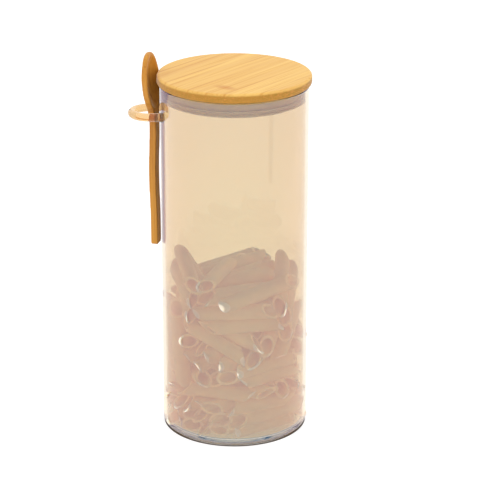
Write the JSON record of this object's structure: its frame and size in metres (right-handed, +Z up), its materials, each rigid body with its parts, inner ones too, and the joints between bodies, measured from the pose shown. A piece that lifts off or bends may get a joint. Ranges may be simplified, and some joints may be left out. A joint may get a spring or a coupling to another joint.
{
  "type": "glass storage container",
  "caption": "Straight glass storage jar with a bamboo plug lid, a finned silicone seal and a bamboo spoon hung in a glass loop.",
  "frame": {"origin": "centre of the jar's flat base, on the surface that it stands on", "axes": "+Z up along the jar's axis, -X towards the loop and spoon, -Y towards the viewer"},
  "size_m": [0.1048, 0.0882, 0.2248],
  "materials": {
    "jar_glass": "clear amber lustre, fire polished",
    "rod_glass": "clear, fire polished",
    "lid_bamboo": "sanded and oiled laminated bamboo",
    "silicone": "translucent moulded silicone",
    "spoon_bamboo": "sanded and oiled bamboo"
  },
  "bodies": {
    "jar": {"jar_body": "jar_glass", "spoon_loop": "rod_glass"},
    "seal": {"seal_ring": "silicone"},
    "lid": {"lid": "lid_bamboo"},
    "spoon": {"spoon": "spoon_bamboo"}
  },
  "joints": [
    {"name": "lid_lift", "type": "slide", "parent": "jar", "child": "seal", "axis": [0, 0, 1], "range_m": [0, 0.06]},
    {"name": "lid_turn", "type": "hinge", "parent": "seal", "child": "lid", "pos_m": [0, 0, 0.2075], "axis": [0, 0, 1], "continuous": true},
    {"name": "spoon_lift", "type": "slide", "parent": "jar", "child": "spoon", "axis": [-0.0906, 0, 0.9959], "range_m": [0, 0.12]}
  ]
}
